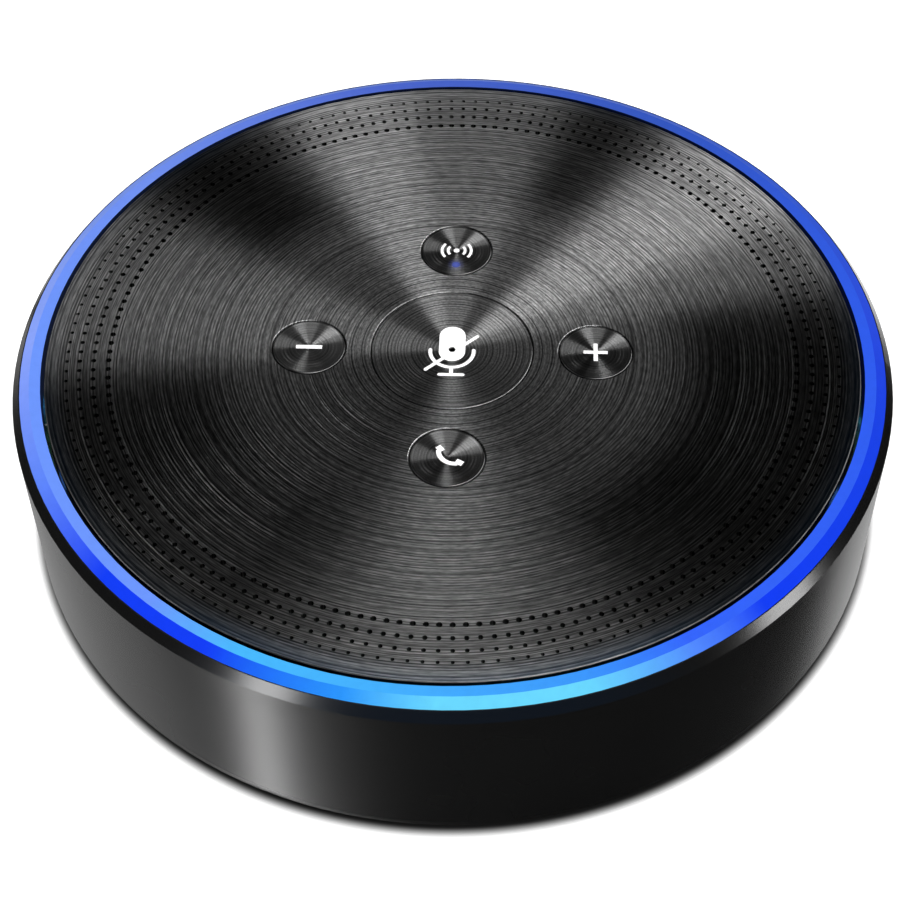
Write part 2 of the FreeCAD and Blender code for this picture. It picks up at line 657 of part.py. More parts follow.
def make_main_board():
    """Main board: a rectangle whose rear edge follows the wall, with its parts and screws."""
    depth = "(dim.board_edge - dim.board_front)"
    blank = doc.addObject("Part::MultiCommon", "board_blank")
    blank.Shapes = [
        box("dim.board_width", depth, "dim.board_thick", 0, f"dim.board_front + {depth} / 2",
            "dim.board_low"),
        cylinder("dim.board_edge", "dim.board_thick", 0, 0, "dim.board_low"),
    ]
    holes, screws = [], []
    for x, y in board_screw_points():
        holes.append(cylinder(1.0, "dim.board_thick", x, y, "dim.board_low"))
        screws.append(screw(x, y, BOARD_TOP, 1.7, 1.0, 0.9, 4.5, shank_up=False))
    piece("main_board", cut(blank, holes))
    piece("main_board_screws", group(screws))
    # Width, depth, height and place of the processor, memory, amplifier, charger, inductor.
    chips = ((8, 8, 1.0, -1, 42), (6, 8, 0.9, 7, 41), (5, 5, 0.9, -14, 33.5),
             (4, 4, 0.8, 14, 38), (4, 4, 2.0, 15, 32))
    piece("main_chips", group([
        box(width, depth, height, x, y, BOARD_TOP) for width, depth, height, x, y in chips
    ]))
    can_x, can_y, can_width, can_depth, can_height, sheet_metal = -13, 44, 12, 10, 2.2, 0.2
    can = box(can_width, can_depth, can_height, can_x, can_y, BOARD_TOP)
    hollow = box(can_width - 2 * sheet_metal, can_depth - 2 * sheet_metal,
                 can_height - sheet_metal, can_x, can_y, BOARD_TOP)
    piece("shield_can", cut(can, [hollow]))


def make_usb_socket():
    """Receptacle shell, closed at the back, and the contact tongue inside it."""
    back = "dim.usb_front - dim.usb_length"
    shell = stadium("dim.usb_width", "dim.usb_height", "dim.usb_length", back, USB_AXIS)
    floor = f"{back} + dim.usb_back_wall"
    hollow = stadium("dim.usb_width - 2 * dim.usb_wall", "dim.usb_height - 2 * dim.usb_wall",
                     "dim.usb_length", floor, USB_AXIS)
    piece("usb_socket_shell", cut(shell, [hollow]))
    tongue_length = "(dim.usb_length - 2 * dim.usb_back_wall)"
    piece("usb_socket_tongue", box("dim.tongue_width", tongue_length, "dim.tongue_thick", 0,
                                   f"{floor} + {tongue_length} / 2",
                                   f"{USB_AXIS} - dim.tongue_thick / 2"))


def make_aux_socket():
    """Jack socket for a 3.5 mm plug, open to the rear."""
    body_rear, body_front = 45, 57.5
    depth = body_front - body_rear
    body = box(6.4, depth, "2 * dim.aux_nose", "dim.port_spacing", (body_rear + body_front) / 2,
               BOARD_TOP)
    nose = cylinder("dim.aux_nose", f"dim.aux_front - {body_front}", "dim.port_spacing",
                    body_front, AUX_AXIS, ALONG_Y)
    bore = cylinder("dim.aux_bore", "dim.aux_depth", "dim.port_spacing",
                    "dim.aux_front - dim.aux_depth", AUX_AXIS, ALONG_Y)
    piece("aux_socket", cut(fuse([body, nose]), [bore]))


def make_power_key():
    """Side-acting switch on the board, its plunger, and the key in the wall."""
    x = "-dim.port_spacing"
    switch_rear, switch_front, flange_rear, flange_front = 50.5, 54.0, 56.2, 57.0
    switch_width, rod_radius, well_radius, well_depth, rod_length = 6, 0.9, 1.05, 2.0, 1.6
    body = box(switch_width, switch_front - switch_rear, "dim.power_switch_height", x,
               (switch_rear + switch_front) / 2, BOARD_TOP)
    well = cylinder(well_radius, well_depth, x, switch_front - well_depth, POWER_AXIS, ALONG_Y)
    piece("power_switch_body", cut(body, [well]))
    rod_rear = switch_front - rod_length
    piece("power_plunger", cylinder(rod_radius, flange_rear - rod_rear, x, rod_rear, POWER_AXIS,
                                    ALONG_Y))
    overlap = 0.9
    flange = box(f"dim.power_key_width + 2 * {overlap}", flange_front - flange_rear,
                 f"dim.power_key_height + 2 * {overlap}", x, (flange_rear + flange_front) / 2,
                 f"{POWER_AXIS} - dim.power_key_height / 2 - {overlap}")
    cap = doc.addObject("Part::MultiCommon", "cap")
    cap.Shapes = [
        box("dim.power_key_width", 8, "dim.power_key_height", x, flange_front + 4,
            f"{POWER_AXIS} - dim.power_key_height / 2"),
        cylinder("dim.power_key_face", "dim.body_height"),
    ]
    piece("power_key", fuse([flange, cap]))


def make_battery():
    depth, front = "dim.battery_depth", "dim.battery_front"
    pouch = box("dim.battery_width", depth, "dim.battery_height", 0, f"-{front} - {depth} / 2",
                f"{BASE_TOP} + 0.2")
    cell = doc.addObject("Part::Fillet", "cell")
    cell.Base = pouch
    cell.Edges = [(number, 1.5, 1.5) for number in range(1, 13)]
    piece("battery_cell", cell)
    wires = []
    for x in (17.3, 18.9):
        wires.append(lead([(x, f"-{front}", 5.6), (x, 31, 5.6), (x, 31, "dim.board_low")], 0.5))
    piece("battery_leads", group(wires))


def make_key_board_flex():
    """Flat cable from the key board, through the slot in the deck, to the main board."""
    width, film, drop_y = 8, 0.15, 34.0
    high, low = KEY_BOARD_TOP, BOARD_TOP
    runs = [
        box(width, 10, film, 0, drop_y - 5, high),
        box(width, film, f"({high}) - ({low}) + {film}", 0, drop_y + film / 2, low),
        box(width, 3.2, film, 0, drop_y - 1.6, low),
    ]
    piece("key_board_flex", fuse(runs))


# ---------------------------------------------------------------- speaker

def make_speaker_magnet():
    """Magnet circuit: yoke with its pole, ring magnet and top washer."""
    piece("speaker_yoke", lathe([
        (0, "dim.yoke_low"),
        ("dim.magnet_outer", "dim.yoke_low"),
        ("dim.magnet_outer", "dim.magnet_low"),
        ("dim.pole_radius", "dim.magnet_low"),
        ("dim.pole_radius", "dim.washer_top"),
        (0, "dim.washer_top"),
    ]))
    piece("speaker_magnet", ring("dim.magnet_inner", "dim.magnet_outer", "dim.magnet_low",
                                 "dim.washer_low"))
    piece("speaker_washer", ring("dim.gap_outer", "dim.magnet_outer", "dim.washer_low",
                                 "dim.washer_top"))


def make_speaker_frame():
    """Basket with six windows, its sealing gasket and four screws into the deck."""
    flange_low = "dim.speaker_top - 1"
    flange_inner = "dim.cone_radius + 2 * dim.roll_radius - 0.1"
    basket = lathe([
        ("dim.magnet_inner", "dim.washer_top"),
        ("dim.magnet_outer + 0.5", "dim.washer_top"),
        ("dim.flange_radius - 2.7", flange_low),
        ("dim.flange_radius", flange_low),
        ("dim.flange_radius", "dim.speaker_top"),
        (flange_inner, "dim.speaker_top"),
        (flange_inner, "dim.speaker_top - 0.6"),
        ("dim.magnet_outer + 0.2", "dim.spider_height"),
        ("dim.magnet_outer - 1.7", "dim.spider_height"),
        ("dim.magnet_outer - 1.7", "dim.washer_top + 0.8"),
        ("dim.magnet_inner", "dim.washer_top + 0.8"),
    ])
    windows = [
        sector("dim.magnet_outer + 1.5", "dim.flange_radius - 4.2", 7, "dim.washer_top - 0.2",
               angle, 40) for angle in range(30, 390, 60)
    ]
    gasket = ring("dim.flange_radius - 2.9", "dim.flange_radius", "dim.speaker_top", "dim.deck_low")
    basket_holes, gasket_holes, screws = [], [], []
    for angle in QUARTERS:
        x, y = polar("dim.speaker_screw_circle", angle)
        basket_holes.append(cylinder(0.8, 1.2, x, y, f"{flange_low} - 0.1"))
        gasket_holes.append(cylinder(0.8, 0.5, x, y, "dim.speaker_top"))
        screws.append(screw(x, y, flange_low, 1.2, 0.9, 0.7, 2.6, shank_up=True))
    piece("speaker_frame", cut(basket, windows + basket_holes))
    piece("speaker_gasket", cut(gasket, gasket_holes))
    piece("speaker_screws", group(screws))


def torus(radius, tube_radius, height, half=False):
    item = doc.addObject("Part::Torus", "roll")
    bind(item, Radius1=radius, Radius2=tube_radius)
    if half:
        item.Angle1 = 0
        item.Angle2 = 180
    return place(item, z=height)


def make_speaker_suspension():
    """Half-roll surround at the cone's edge and corrugated spider at its neck."""
    skin = 0.3
    roll_middle = "dim.cone_radius + dim.roll_radius"
    roll = cut(torus(roll_middle, "dim.roll_radius", "dim.speaker_top"),
               [torus(roll_middle, f"dim.roll_radius - {skin}", "dim.speaker_top")])
    upper = doc.addObject("Part::MultiCommon", "upper_half")
    upper.Shapes = [roll, cylinder("dim.flange_radius", 5, z="dim.speaker_top")]
    lip_top = f"dim.speaker_top + {skin}"
    outer_edge = "dim.cone_radius + 2 * dim.roll_radius"
    lips = [
        ring("dim.cone_radius - 0.8", f"dim.cone_radius + {skin}", "dim.speaker_top", lip_top),
        ring(f"{outer_edge} - {skin}", f"{outer_edge} + 0.8", "dim.speaker_top", lip_top),
    ]
    piece("speaker_surround", fuse([upper] + lips))
    ridges = 8
    lower, over = [], []
    for number in range(ridges + 1):
        radius = f"dim.coil_outer + {number} * (dim.magnet_outer - 1.5 - dim.coil_outer) / {ridges}"
        wave = 0.4 if number % 2 else 0
        lower.append((radius, f"dim.spider_height + {wave}"))
        over.append((radius, f"dim.spider_height + {wave} + {skin}"))
    rim = "dim.magnet_outer - 0.1"
    piece("speaker_spider", lathe(lower + [(rim, "dim.spider_height"),
                                           (rim, f"dim.spider_height + {skin}")] + over[::-1]))


def make_speaker_cone():
    """The moving part of the driver: cone, dust cap and voice coil."""
    neck = "dim.coil_outer"
    neck_low = "dim.spider_height + 2"
    brim = "dim.cone_radius - 0.8"
    piece("speaker_cone", lathe([
        (neck, neck_low),
        (brim, "dim.speaker_top - dim.paper_thick"),
        ("dim.cone_radius", "dim.speaker_top - dim.paper_thick"),
        ("dim.cone_radius", "dim.speaker_top"),
        (brim, "dim.speaker_top"),
        (neck, f"{neck_low} + dim.paper_thick"),
    ]))
    piece("voice_coil", ring("dim.coil_inner", "dim.coil_outer", "dim.washer_low - 1.2",
                             f"{neck_low} + dim.paper_thick"))
    dome_radius, skirt_radius, rim_height, shell = 15.4, 7.6, 13.2, 0.25
    rise = (dome_radius ** 2 - skirt_radius ** 2) ** 0.5
    dome = doc.addObject("Part::MultiCommon", "dome")
    outer, inner = [doc.addObject("Part::Sphere", "dome") for _ in range(2)]
    for ball, radius in ((outer, dome_radius), (inner, dome_radius - shell)):
        bind(ball, Radius=radius)
        place(ball, z=rim_height - rise)
    dome.Shapes = [cut(outer, [inner]), cylinder(skirt_radius, 5, z=rim_height)]
    skirt = tube(skirt_radius, skirt_radius - shell, 0.35, z=rim_height - 0.25)
    piece("speaker_dust_cap", fuse([dome, skirt]))


def make_speaker_leads():
    """Two wires from the basket's flange to the main board."""
    wires = []
    for x in (7.5, 9.5):
        route = [(x, 24, "dim.speaker_top - 1"), (x, 24, 12), (x, 33, 12), (x, 33, BOARD_TOP)]
        wires.append(lead(route, 0.45))
    piece("speaker_leads", group(wires))


def make_base_screws():
    screws = []
    for angle in DIAGONALS:
        x, y = polar("dim.base_screw_circle", angle)
        seat = "dim.wall_low + dim.counterbore_depth"
        screws.append(screw(x, y, seat, 2.3, 1.0, 1.1, 9, shank_up=True))
    piece("base_screws", group(screws))


# ---------------------------------------------------------------- document

def check(item):
    """Stop if an object of the document failed to compute."""
    if {"Invalid", "Error"} & set(item.State):
        raise RuntimeError(f"{item.Label} is {item.State}")


def export():
    os.makedirs("parts", exist_ok=True)
    for item in pieces:
        if item.Shape.isNull() or not item.Shape.isValid():
            raise RuntimeError(f"{item.Label} has no valid shape")
    for item in pieces:
        item.Shape.exportStep(os.path.join("parts", f"{item.Label}.step"))


fill_sheet()
for make in (
    make_outer_wall, make_light_ring, make_top_plate, make_plate_films, make_base, make_foot,
    make_base_screws, make_inner_frame, make_small_keys, make_mute_key, make_key_guide,
    make_key_board, make_microphone, make_ring_lights, make_main_board, make_usb_socket,
    make_aux_socket, make_power_key, make_battery, make_key_board_flex, make_speaker_magnet,
    make_speaker_frame, make_speaker_suspension, make_speaker_cone, make_speaker_leads,
):
    make()
doc.recompute()
for item in doc.Objects:
    check(item)
export()
print(len(pieces), "sub-parts")
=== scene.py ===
"""Looks of the conference speakerphone: materials, small details, light and camera.

Metres, in the frame of the CAD model: the origin is on the table, -Y faces the user.
"""

import json
import math

import bmesh
import bpy
from mathutils import Matrix, Vector


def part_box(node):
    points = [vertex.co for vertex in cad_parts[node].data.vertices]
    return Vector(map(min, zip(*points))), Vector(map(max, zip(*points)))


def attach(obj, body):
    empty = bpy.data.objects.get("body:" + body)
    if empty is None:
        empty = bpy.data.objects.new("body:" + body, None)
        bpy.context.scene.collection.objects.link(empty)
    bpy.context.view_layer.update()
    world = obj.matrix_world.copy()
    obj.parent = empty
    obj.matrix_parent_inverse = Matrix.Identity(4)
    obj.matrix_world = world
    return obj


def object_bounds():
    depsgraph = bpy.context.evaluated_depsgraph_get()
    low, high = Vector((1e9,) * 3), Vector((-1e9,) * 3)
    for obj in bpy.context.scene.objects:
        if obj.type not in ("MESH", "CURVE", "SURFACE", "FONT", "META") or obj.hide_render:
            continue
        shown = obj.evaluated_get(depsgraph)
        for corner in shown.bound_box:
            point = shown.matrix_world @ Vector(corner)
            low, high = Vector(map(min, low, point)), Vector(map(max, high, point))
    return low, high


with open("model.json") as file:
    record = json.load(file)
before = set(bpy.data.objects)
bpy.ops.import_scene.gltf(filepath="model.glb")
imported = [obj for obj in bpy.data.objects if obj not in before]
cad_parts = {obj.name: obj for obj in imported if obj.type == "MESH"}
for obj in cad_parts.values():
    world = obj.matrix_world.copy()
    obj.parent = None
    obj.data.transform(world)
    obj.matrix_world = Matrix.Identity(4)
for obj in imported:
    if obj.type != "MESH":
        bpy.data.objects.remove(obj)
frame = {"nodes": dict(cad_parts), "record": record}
cad_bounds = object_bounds()
MM = 0.001
TOP = cad_bounds[1][2]
RIM_RADIUS = cad_bounds[1][0]

# How far the highlight spreads along the circles of the metal, how strongly single circles
# stand out, and the share of light that the finish scatters evenly.
PLATE_LOOK = (0.07, 0.55, 0.2)
KEY_LOOKS = {
    "mute": (0.07, 0.4, 0.18), "volume_down": (0.07, 0.2, 0.13),
    "volume_up": (0.07, 0.2, 0.04), "pairing": (0.07, 0.2, 0.08), "call": (0.07, 0.2, 0.08),
}

# Spun metal: its reflectivity, the mean lean of the groove flanks and how far single
# grooves depart from it, and the spread of the highlight along the radius.
METAL_SHADE = 0.4
INWARD_LEAN = -0.3
GROOVE_SWING = 0.2
ALONG_RADIUS = 0.7
MAX_ANISOTROPY = 0.9

# Its lines, as noise scales per metre of radius: grooves, bands, single dark cuts and short
# scratches, which are also stretched along the circles.
GROOVE_LINES, BAND_LINES, CUT_LINES, SCRATCH_LINES = 3900, 1300, 2700, 4500
SCRATCHES_AROUND = 20
GROOVE_PART, BAND_PART = 0.72, 0.28
SCRATCH_STRENGTH = 0.7
CUT_SHADE = 0.55
THREAD_PITCH, THREAD_DEPTH = 0.46 * MM, 0.1

# Its broken edges: the painted shade of those that face away from the front right, the painted
# highlight of those that face it near the keys and at the rim, and how metallic they are.
EDGE_PAINTED_SHADE, KEY_EDGE_BRIGHT, RIM_EDGE_BRIGHT, EDGE_METALLIC = 0.12, 2.6, 0.55, 0.3
FRONT_RIGHT = (0.7, -0.7, 0)
INNER_ZONE, OUTER_ZONE = 26 * MM, 38 * MM

# Upward part of a normal above which a face counts as level, and as a slanted edge.
LEVEL, SLANTED = 0.95, 0.3

BLACK = (0.0, 0.0, 0.0)
# Colours of painted light: the ring's blue light on the plate's edge and on the wall's chamfer, and
# the halo round the status lens.
RING_SPILL = (0.001, 0.012, 0.03)
WALL_SPILL = (0.0, 0.0025, 0.007)
HALO_BLUE = (0.012, 0.022, 0.14)
HALO_RADIUS, LENS_RADIUS = 1.4 * MM, 0.7 * MM

STAGE_REACH = 4.0
FLOOR_GLOW, FAR_GLOW = 0.72, 1.1
GLOW_START, GLOW_END = 0.12, 0.5

# Softboxes: direction from the middle of the plate and half width and height, in degrees, and
# radiance. The rig stands on a translucent table, so the wall is lit from below it too.
METAL_LAMPS = {
    "low_left": (191, 9, 18, 4.8, 11),
    "low_left_fill": (162, 9, 9, 4.8, 3.2),
    "low_front": (-61, 9, 17, 6, 8),
    "low_front_fill": (-100, 9, 18, 6, 3.4),
    "low_back": (92, 2, 2, 5, 14),
    "low_back_right": (27, 9, 23, 2.4, 5.6),
}
HOUSING_LAMPS = {
    "overhead": (90, 88, 30, 30, 2.6),
    "strip_left": (217, -50, 2, 28, 12),
    "edge_left": (233, 13, 5, 5, 36),
    "edge_right": (-14, 4, 7, 4, 28),
    "under_left": (153, -50, 23, 30, 0.62),
    "under_right": (70, -50, 22, 30, 1.0),
}
REAR_LAMPS = {
    "rear_left": (128, 25, 5, 20, 5),
    "rear_right": (48, 25, 9, 20, 2.5),
    "rear_low": (88, -30, 30, 12, 0.8),
}
LAMP_DISTANCE = 1.2

# The camera's direction from the middle of the plate, its distance and its aim.
CAMERA_AZIMUTH, CAMERA_ELEVATION, CAMERA_ROLL = -87.67, 46.04, 0.672
CAMERA_DISTANCE = 310 * MM
CAMERA_AIM = Vector((0.35, -18.9, 27.6)) * MM
FOCAL_LENGTH, SENSOR_WIDTH = 87.7, 36.0


def centre_of(name):
    low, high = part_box(name)
    return (low + high) / 2


def add_object(name, data):
    made = bpy.data.objects.new(name, data)
    bpy.context.scene.collection.objects.link(made)
    return made


def direction_at(azimuth, elevation):
    """A unit vector, given in degrees anticlockwise from +X and degrees above the table."""
    azimuth, elevation = math.radians(azimuth), math.radians(elevation)
    return Vector((math.cos(azimuth) * math.cos(elevation),
                   math.sin(azimuth) * math.cos(elevation), math.sin(elevation)))


# ---------------------------------------------------------------- node helpers

def node(tree, kind, inputs=None, **settings):
    """Add a shader node; an input is given as a socket to link or as a value."""
    made = tree.nodes.new("ShaderNode" + kind)
    for name, value in settings.items():
        setattr(made, name, value)
    for key, value in (inputs or {}).items():
        if isinstance(value, bpy.types.NodeSocket):
            tree.links.new(value, made.inputs[key])
        else:
            made.inputs[key].default_value = value
    return made


def calc(tree, operation, first, second=0.0, third=0.0):
    inputs = {0: first, 1: second, 2: third}
    return node(tree, "Math", inputs, operation=operation).outputs[0]


def vector(tree, operation, first, second=(0, 0, 0), scale=None):
    inputs = {0: first, 1: second}
    if scale is not None:
        inputs["Scale"] = scale
    return node(tree, "VectorMath", inputs, operation=operation)


def ramp(tree, factor, stops):
    """A colour ramp through (position, colour) stops."""
    made = node(tree, "ValToRGB", {0: factor})
    elements = made.color_ramp.elements
    while len(elements) < len(stops):
        elements.new(0.5)
    for element, (position, colour) in zip(elements, stops):
        element.position = position
        element.color = (*colour, 1)
    return made.outputs[0]


def grey(value):
    return (value, value, value)


def scaled(colour, factor):
    return tuple(channel * factor for channel in colour)


def mix(tree, factor, first, second):
    """Blend two colours, each a socket or an RGB tuple."""
    inputs = {0: factor}
    for key, colour in ((1, first), (2, second)):
        inputs[key] = (*colour, 1) if isinstance(colour, tuple) else colour
    return node(tree, "MixRGB", inputs).outputs[0]


def new_material(name):
    made = bpy.data.materials.new(name)
    made.use_nodes = True
    tree = made.node_tree
    return made, tree, tree.nodes["Principled BSDF"]


def object_position(tree):
    return node(tree, "TexCoord").outputs["Object"]


def noise(tree, position, scale, detail=2.0, roughness=0.5):
    inputs = {"Vector": position, "Scale": scale, "Detail": detail, "Roughness": roughness}
    return node(tree, "TexNoise", inputs).outputs["Fac"]


def line_noise(tree, distance, scale, detail=2.0):
    """Noise along one number, such as a radius: even along each circle."""
    inputs = {"W": distance, "Scale": scale, "Detail": detail}
    return node(tree, "TexNoise", inputs, noise_dimensions="1D").outputs["Fac"]


def between(tree, factor, low, high, start=0.0, end=1.0, smooth=False):
    """Map start..end onto low..high."""
    inputs = {"Value": factor, "From Min": start, "From Max": end, "To Min": low, "To Max": high}
    kind = "SMOOTHSTEP" if smooth else "LINEAR"
    return node(tree, "MapRange", inputs, interpolation_type=kind).outputs["Result"]


def bump(tree, height, distance, strength=1.0):
    inputs = {"Height": height, "Distance": distance, "Strength": strength}
    return node(tree, "Bump", inputs).outputs["Normal"]


def set_inputs(shader, **values):
    for name, value in values.items():
        socket = shader.inputs[name.replace("_", " ")]
        if isinstance(value, bpy.types.NodeSocket):
            shader.id_data.links.new(value, socket)
        elif isinstance(value, tuple) and len(value) == 3:
            socket.default_value = (*value, 1)
        else:
            socket.default_value = value


def level_offset(tree, centre):
    """The level part of the way from a centre to the shaded point, and its length."""
    offset = vector(tree, "SUBTRACT", object_position(tree), centre).outputs[0]
    flat = vector(tree, "MULTIPLY", offset, (1, 1, 0)).outputs[0]
    return flat, vector(tree, "LENGTH", flat).outputs["Value"]


def facing_up(tree):
    """The upward part of the surface's own normal."""
    normal = node(tree, "NewGeometry").outputs["Normal"]
    return node(tree, "SeparateXYZ", {0: normal}).outputs[2]


# ---------------------------------------------------------------- materials that show

def spun_metal(name, centre, look, glow=None):
    """Black anodised metal turned in fine circles about a centre.

    look is one of the rows above, and glow gives the colour of any light on the top face.
    """
    across, lines, satin = look
    made, tree, shader = new_material(name)
    flat, radius = level_offset(tree, centre)
    outward = vector(tree, "NORMALIZE", flat).outputs[0]
    up = facing_up(tree)
    is_top = calc(tree, "GREATER_THAN", up, LEVEL)
    grooves = line_noise(tree, radius, GROOVE_LINES, 2)
    shade = groove_shade(tree, outward, radius, grooves, lines)
    shade = calc(tree, "MULTIPLY", shade, edge_painted_glint(tree, radius, is_top))
    if glow:
        set_inputs(shader, Emission_Color=glow(tree, is_top), Emission_Strength=1.0)
    aspect = across / ALONG_RADIUS
    set_inputs(shader, Base_Color=grey_socket(tree, shade),
               Metallic=metal_part(tree, radius, up, is_top, satin),
               Roughness=(across * ALONG_RADIUS) ** 0.25,
               Anisotropic=(1 - aspect) / MAX_ANISOTROPY, Specular_Tint=grey(0.3),
               Normal=groove_normal(tree, outward, grooves, is_top), Tangent=outward)
    return made


def grey_socket(tree, shade):
    return node(tree, "CombineColor", {0: shade, 1: shade, 2: shade}).outputs[0]


def groove_normal(tree, outward, grooves, is_top):
    """The surface normal, leaned towards the centre by the groove flanks of the top face."""
    low, high = INWARD_LEAN - GROOVE_SWING, INWARD_LEAN + GROOVE_SWING
    tilt = calc(tree, "MULTIPLY", between(tree, grooves, low, high, 0.2, 0.8), is_top)
    lean = vector(tree, "SCALE", outward, scale=tilt).outputs[0]
    surface = node(tree, "NewGeometry").outputs["Normal"]
    normal = vector(tree, "ADD", surface, lean).outputs[0]
    return vector(tree, "NORMALIZE", normal).outputs[0]


def groove_shade(tree, outward, radius, grooves, lines):
    """Reflectivity of each circle: grooves and bands, a regular thread, scratches and cuts."""
    thread = calc(tree, "SINE", calc(tree, "MULTIPLY", radius, 2 * math.pi / THREAD_PITCH))
    bands = line_noise(tree, radius, BAND_LINES, 2)
    level = calc(tree, "ADD", calc(tree, "MULTIPLY", grooves, GROOVE_PART),
                 calc(tree, "MULTIPLY", bands, BAND_PART))
    level = calc(tree, "MULTIPLY_ADD", thread, THREAD_DEPTH, level)
    darkest, lightest = METAL_SHADE * (1 - lines), METAL_SHADE * (1 + lines)
    shade = between(tree, level, darkest, lightest, 0.36, 0.64)
    swing = SCRATCH_STRENGTH * lines
    scratch = between(tree, scratches(tree, outward, radius), 1 - swing, 1 + swing, 0.35, 0.65)
    cuts = between(tree, line_noise(tree, radius, CUT_LINES, 0), 1, CUT_SHADE, 0.62, 0.7,
                   smooth=True)
    return calc(tree, "MULTIPLY", calc(tree, "MULTIPLY", shade, scratch), cuts)


def scratches(tree, outward, radius):
    """Short scratches that follow the circles."""
    around = vector(tree, "SCALE", outward, scale=SCRATCHES_AROUND).outputs[0]
    depth = calc(tree, "MULTIPLY", radius, SCRATCH_LINES)
    depth = node(tree, "CombineXYZ", {2: depth}).outputs[0]
    return noise(tree, vector(tree, "ADD", around, depth).outputs[0], 1.0, 2, 0.6)


def edge_painted_glint(tree, radius, is_top):
    """Painted shade and highlight on the broken edges: dark, but painted bright where they face the
    front right.
    """
    surface = node(tree, "NewGeometry").outputs["Normal"]
    facing = vector(tree, "DOT_PRODUCT", surface, FRONT_RIGHT).outputs["Value"]
    bright = between(tree, radius, KEY_EDGE_BRIGHT, RIM_EDGE_BRIGHT, INNER_ZONE, OUTER_ZONE)
    # Painted highlight where an edge faces the front right, painted shade on the other edges.
    painted_glint = between(tree, facing, EDGE_PAINTED_SHADE, bright, 0.35, 0.65, smooth=True)
    return node(tree, "Mix", {0: is_top, 2: painted_glint, 3: 1.0}).outputs[0]


def metal_part(tree, radius, up, is_top, satin):
    """How metallic the finish is: satin near the centre and most of all on slanted edges."""
    metallic = between(tree, radius, 1 - satin, 1, INNER_ZONE, OUTER_ZONE, smooth=True)
    slanted = calc(tree, "MULTIPLY", calc(tree, "GREATER_THAN", up, SLANTED),
                   calc(tree, "SUBTRACT", 1, is_top))
    return node(tree, "Mix", {0: slanted, 2: metallic, 3: EDGE_METALLIC}).outputs[0]


def ring_spill(tree, is_top):
    """Blue light that the ring throws on the plate's edge, most of it at the front."""
    flat, radius = level_offset(tree, (0, 0, 0))
    near = between(tree, radius, 0, 1, RIM_RADIUS * 0.87, RIM_RADIUS * 0.93, smooth=True)
    forward = node(tree, "SeparateXYZ", {0: flat}).outputs[1]
    front = between(tree, forward, 1, 0.12, -RIM_RADIUS * 0.88, -RIM_RADIUS * 0.7, smooth=True)
    spill = calc(tree, "MULTIPLY", calc(tree, "MULTIPLY", near, front), is_top)
    return mix(tree, spill, BLACK, RING_SPILL)


def lens_halo(tree, is_top):
    """Soft blue halo round the status lens."""
    distance = level_offset(tree, centre_of("pairing_lens"))[1]
    near = between(tree, distance, 1, 0, 0, HALO_RADIUS, smooth=True)
    return mix(tree, calc(tree, "MULTIPLY", near, is_top), BLACK, HALO_BLUE)


def black_wall():
    """Satin black moulded wall with a smoother, shinier chamfer under the light ring, and painted
    blue light of the ring on the front of that chamfer.
    """
    made, tree, shader = new_material("wall_black")
    position = object_position(tree)
    grain = noise(tree, position, 3200, 2)
    cloud = noise(tree, position, 60, 2)
    chamfer = between(tree, facing_up(tree), 0, 1, SLANTED, 0.5)
    satin = between(tree, cloud, 0.255, 0.285)
    height = node(tree, "SeparateXYZ", {0: position}).outputs[2]
    foot = between(tree, height, 0.3, 0, 0.8 * MM, 2.2 * MM, smooth=True)
    colour = mix(tree, cloud, grey(0.0045), grey(0.006))
    roughness = calc(tree, "MULTIPLY_ADD", chamfer, -0.055, calc(tree, "ADD", satin, foot))
    # Painted light: blue emission on the front of the chamfer stands in for the ring's light
    # falling on it.
    forward = node(tree, "SeparateXYZ", {0: position}).outputs[1]
    lit = between(tree, forward, 1, 0, -RIM_RADIUS * 0.96, -RIM_RADIUS * 0.82, smooth=True)
    spill = calc(tree, "MULTIPLY", lit, chamfer)
    set_inputs(shader, Base_Color=colour, Roughness=roughness, Specular_IOR_Level=0.25,
               Emission_Color=mix(tree, spill, BLACK, WALL_SPILL),
               Emission_Strength=1.0, Normal=bump(tree, grain, 0.00001, 0.12))
    return made


